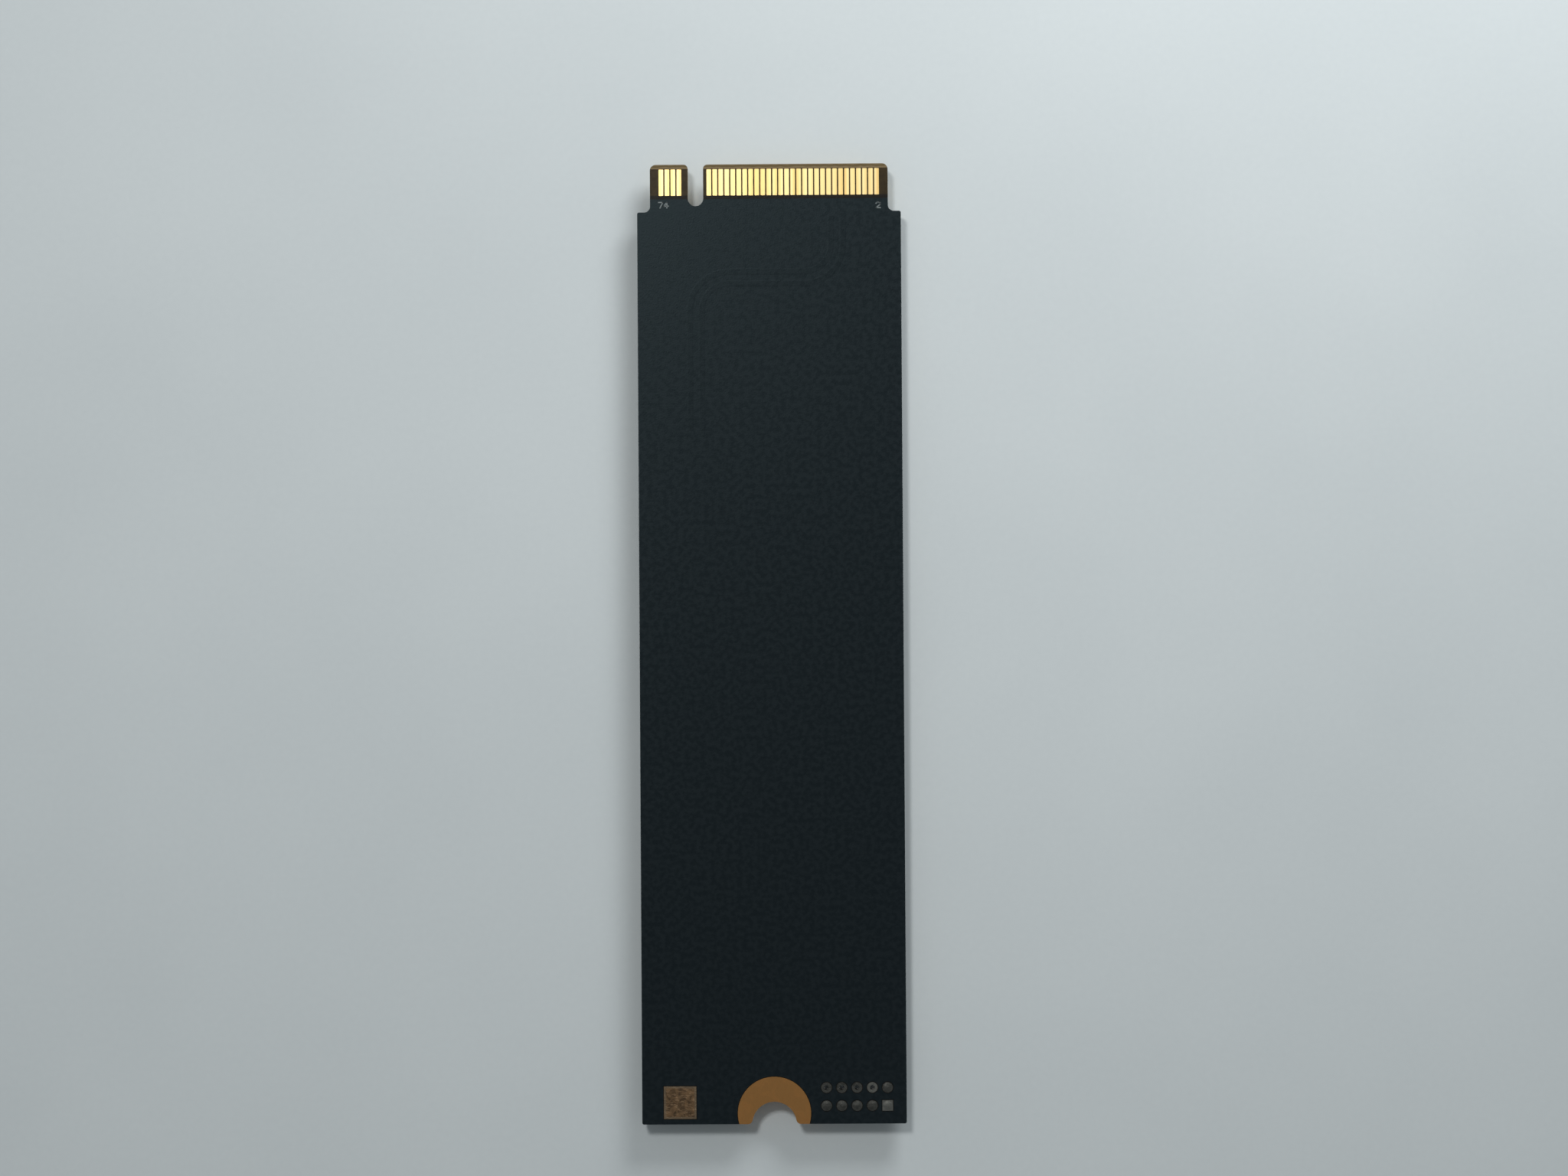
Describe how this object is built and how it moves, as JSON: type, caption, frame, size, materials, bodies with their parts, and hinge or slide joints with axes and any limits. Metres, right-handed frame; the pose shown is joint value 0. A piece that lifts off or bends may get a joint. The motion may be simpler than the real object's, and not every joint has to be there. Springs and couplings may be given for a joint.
{
  "type": "gumstick solid state drive",
  "caption": "Thin circuit-board storage drive with a keyed edge connector at one end and a plated half hole for its screw at the other, all its parts on one face.",
  "frame": {"origin": "middle of the board's outline, on the plane that the package tops rest on", "axes": "+X across the board, +Y along it towards the edge connector, +Z out of its bare face"},
  "size_m": [0.022, 0.08, 0.0022],
  "materials": {
    "laminate": "woven glass and epoxy, bare and freshly cut at the bevels",
    "solder_mask": "matte black solder mask with a fine grain",
    "gold": "bright gold plating on the edge contacts",
    "bare_copper": "dull bare copper with a thin protective film",
    "code_copper": "mottled brown copper, marked all over",
    "tinned_metal": "dull solder and tinned metal",
    "test_pad_metal": "dull grey, aged solder on the test rings",
    "moulding_compound": "fine-grained black moulding compound",
    "package_laminate": "dark green package substrate, sawn at its edges",
    "capacitor_ceramic": "fired tan ceramic",
    "resistor_coat": "black glaze over the resistor film",
    "ferrite": "pressed grey metal powder",
    "crystal_ceramic": "dark grey-brown fired ceramic",
    "lid_metal": "brushed nickel-plated lid",
    "fuse_ceramic": "pale fired ceramic",
    "thermistor_ceramic": "dark green glazed ceramic"
  },
  "bodies": {
    "root": {"board": "laminate", "bare_side_mask": "solder_mask", "component_side_mask": "solder_mask", "even_contacts": "gold", "odd_contacts": "gold", "screw_ground_ring": "bare_copper", "test_hole_rings": "test_pad_metal", "test_hole_fills": "test_pad_metal", "code_square": "code_copper", "controller_substrate": "package_laminate", "controller_cap": "moulding_compound", "controller_balls": "tinned_metal", "buffer_memory_substrate": "package_laminate", "buffer_memory_cap": "moulding_compound", "buffer_memory_balls": "tinned_metal", "near_flash_substrate": "package_laminate", "near_flash_cap": "moulding_compound", "near_flash_balls": "tinned_metal", "far_flash_substrate": "package_laminate", "far_flash_cap": "moulding_compound", "far_flash_balls": "tinned_metal", "power_manager_body": "moulding_compound", "power_manager_lands": "tinned_metal", "power_inductor_cores": "ferrite", "power_inductor_terminals": "tinned_metal", "load_switch_body": "moulding_compound", "load_switch_leads": "tinned_metal", "surge_clamp_body": "moulding_compound", "surge_clamp_leads": "tinned_metal", "input_fuse_body": "fuse_ceramic", "input_fuse_ends": "tinned_metal", "crystal_base": "crystal_ceramic", "crystal_lid": "lid_metal", "firmware_memory_body": "moulding_compound", "firmware_memory_lands": "tinned_metal", "coupling_capacitor_bodies": "capacitor_ceramic", "coupling_capacitor_ends": "tinned_metal", "bulk_capacitor_bodies": "capacitor_ceramic", "bulk_capacitor_ends": "tinned_metal", "small_capacitor_bodies": "capacitor_ceramic", "small_capacitor_ends": "tinned_metal", "resistor_bodies": "resistor_coat", "resistor_ends": "tinned_metal", "thermistor_body": "thermistor_ceramic", "thermistor_ends": "tinned_metal"}
  },
  "joints": []
}
